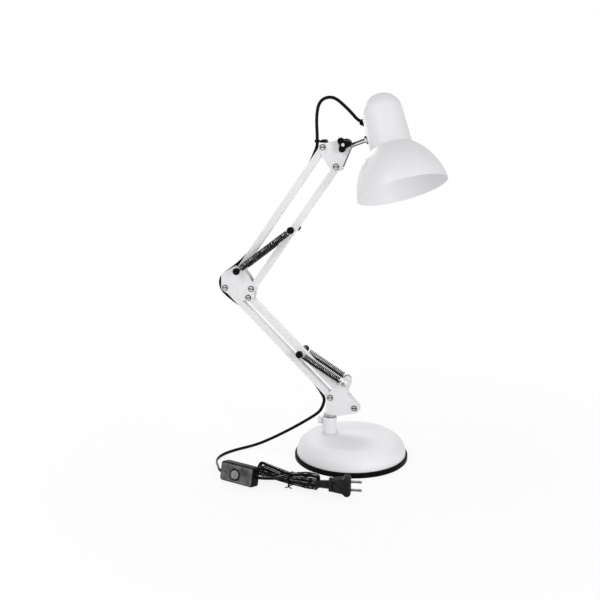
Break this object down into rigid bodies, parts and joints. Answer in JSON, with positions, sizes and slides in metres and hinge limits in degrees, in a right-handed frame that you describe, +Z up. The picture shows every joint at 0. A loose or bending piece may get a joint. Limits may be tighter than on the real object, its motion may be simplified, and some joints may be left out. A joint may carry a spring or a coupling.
{
  "type": "swing arm desk lamp",
  "caption": "Desk lamp with a weighted round base, two sprung parallelogram arms, a bell shade, and a cord with a switch and a plug.",
  "frame": {"origin": "centre of the underside of the round base, where its foot pad rests on the desk", "axes": "+Z up, +X towards the shade in the plane of the arms, -Y towards the viewer of the front"},
  "size_m": [0.3613, 0.2586, 0.5662],
  "materials": {
    "white_enamel": "gloss",
    "black_rubber": "satin",
    "black_cord": "satin",
    "black_plastic": "satin",
    "grey_plastic": "satin",
    "bakelite": "satin",
    "black_steel": "satin",
    "nickel": "polished",
    "chrome": "polished",
    "brass": "satin",
    "cast_iron": "rough",
    "steel": "satin"
  },
  "bodies": {
    "root": {"base_shell": "white_enamel", "base_rubber_ring": "black_rubber", "base_foot_pad": "black_rubber", "base_bottom_plate": "steel", "base_weight": "cast_iron", "base_cover_screws": "nickel", "post_sleeve_and_nut": "steel", "base_post": "white_enamel", "post_bushing": "black_plastic", "cord_tail": "black_cord", "cord_hank_leads": "black_cord", "cord_hank": "black_cord", "hank_tie": "black_plastic", "switch_face_shell": "black_plastic", "switch_rear_shell": "black_plastic", "switch_contact_block": "bakelite", "plug_body": "black_plastic", "plug_blades": "nickel"},
    "thumb_screw": {"post_thumb_screw": "white_enamel"},
    "lower_bracket": {"lower_bracket_near_plate": "white_enamel", "lower_bracket_far_plate": "white_enamel", "lower_bracket_fasteners": "nickel", "swivel_spindle": "steel", "cord_bracket_exit": "black_cord"},
    "lower_left_arm": {"lower_left_bar": "white_enamel", "cord_lower_run": "black_cord"},
    "lower_right_arm": {"lower_right_bar": "white_enamel", "lower_spring_pin": "black_steel", "lower_springs": "black_steel"},
    "elbow": {"elbow_near_plate": "white_enamel", "elbow_far_plate": "white_enamel", "elbow_fasteners": "nickel", "elbow_spring_pin": "black_steel", "cord_elbow_lower": "black_cord", "cord_elbow_upper": "black_cord"},
    "upper_left_arm": {"upper_left_bar": "white_enamel", "cord_upper_run": "black_cord"},
    "upper_right_arm": {"upper_right_bar": "white_enamel", "upper_spring_pin": "black_steel", "upper_springs": "black_steel"},
    "head_bracket": {"head_near_plate": "white_enamel", "head_far_plate": "white_enamel", "head_fasteners": "nickel", "tilt_bolt": "nickel", "tilt_bolt_cap": "black_plastic", "head_cord_clip": "black_plastic", "cord_head_exit": "black_cord"},
    "tilt_knob": {"tilt_knob": "black_plastic"},
    "swivel": {"swivel_barrel": "black_plastic", "shade_rod": "chrome", "shade_rod_nuts": "chrome", "cord_head_loop": "black_cord"},
    "shade": {"shade_cup": "white_enamel", "shade_bell": "white_enamel", "lamp_holder": "bakelite", "socket_contacts": "brass", "shade_ring_nut": "bakelite", "cord_grommet": "black_rubber", "cord_shade_loop": "black_cord"},
    "switch_button": {"switch_button": "grey_plastic"}
  },
  "joints": [
    {"name": "base_swivel", "type": "hinge", "parent": "root", "child": "lower_bracket", "pos_m": [-0.0355, 0, 0.064], "axis": [0, 0, 1], "range_deg": [-170, 170], "deforming": ["cord_tail"]},
    {"name": "lower_arm", "type": "hinge", "parent": "lower_bracket", "child": "lower_left_arm", "pos_m": [-0.033, 0, 0.097], "axis": [0, 1, 0], "range_deg": [-8, 70], "deforming": ["cord_bracket_exit"]},
    {"name": "lower_arm_right", "type": "hinge", "parent": "lower_bracket", "child": "lower_right_arm", "pos_m": [0.006, 0, 0.0833], "axis": [0, 1, 0], "range_deg": [-8, 70], "deforming": ["lower_springs"]},
    {"name": "elbow_level", "type": "hinge", "parent": "lower_left_arm", "child": "elbow", "pos_m": [-0.20651, 0, 0.26281], "axis": [0, 1, 0], "range_deg": [-70, 8], "deforming": ["cord_elbow_lower"]},
    {"name": "upper_arm", "type": "hinge", "parent": "elbow", "child": "upper_left_arm", "pos_m": [-0.18321, 0, 0.29211], "axis": [0, 1, 0], "range_deg": [-35, 60], "deforming": ["cord_elbow_upper"]},
    {"name": "upper_arm_right", "type": "hinge", "parent": "elbow", "child": "upper_right_arm", "pos_m": [-0.16251, 0, 0.26361], "axis": [0, 1, 0], "range_deg": [-35, 60], "deforming": ["upper_springs"]},
    {"name": "head_level", "type": "hinge", "parent": "upper_left_arm", "child": "head_bracket", "pos_m": [-0.04716, 0, 0.48641], "axis": [0, 1, 0], "range_deg": [-60, 35], "deforming": ["cord_head_exit"]},
    {"name": "head_tilt", "type": "hinge", "parent": "head_bracket", "child": "swivel", "pos_m": [-0.01346, 0, 0.49122], "axis": [0, 1, 0], "range_deg": [-75, 20], "deforming": ["cord_head_loop"]},
    {"name": "head_roll", "type": "hinge", "parent": "swivel", "child": "shade", "pos_m": [-0.01192, 0, 0.48699], "axis": [0.9397, 0, 0.342], "range_deg": [-60, 84], "deforming": ["cord_shade_loop"]},
    {"name": "tilt_knob_turn", "type": "hinge", "parent": "head_bracket", "child": "tilt_knob", "pos_m": [-0.01346, 0, 0.49122], "axis": [0, 1, 0], "range_deg": [-360, 30]},
    {"name": "thumb_screw_turn", "type": "hinge", "parent": "root", "child": "thumb_screw", "pos_m": [-0.0355, 0, 0.056], "axis": [1, 0, 0], "range_deg": [-360, 30]},
    {"name": "button_press", "type": "slide", "parent": "root", "child": "switch_button", "axis": [0.2614, 0.9426, -0.2079], "range_m": [0, 0.002], "stiffness_N_per_m": 350}
  ],
  "couplings": [
    {"joint": "lower_arm_right", "follows": "lower_arm", "ratio": 1},
    {"joint": "elbow_level", "follows": "lower_arm", "ratio": -1},
    {"joint": "upper_arm_right", "follows": "upper_arm", "ratio": 1},
    {"joint": "head_level", "follows": "upper_arm", "ratio": -1}
  ]
}
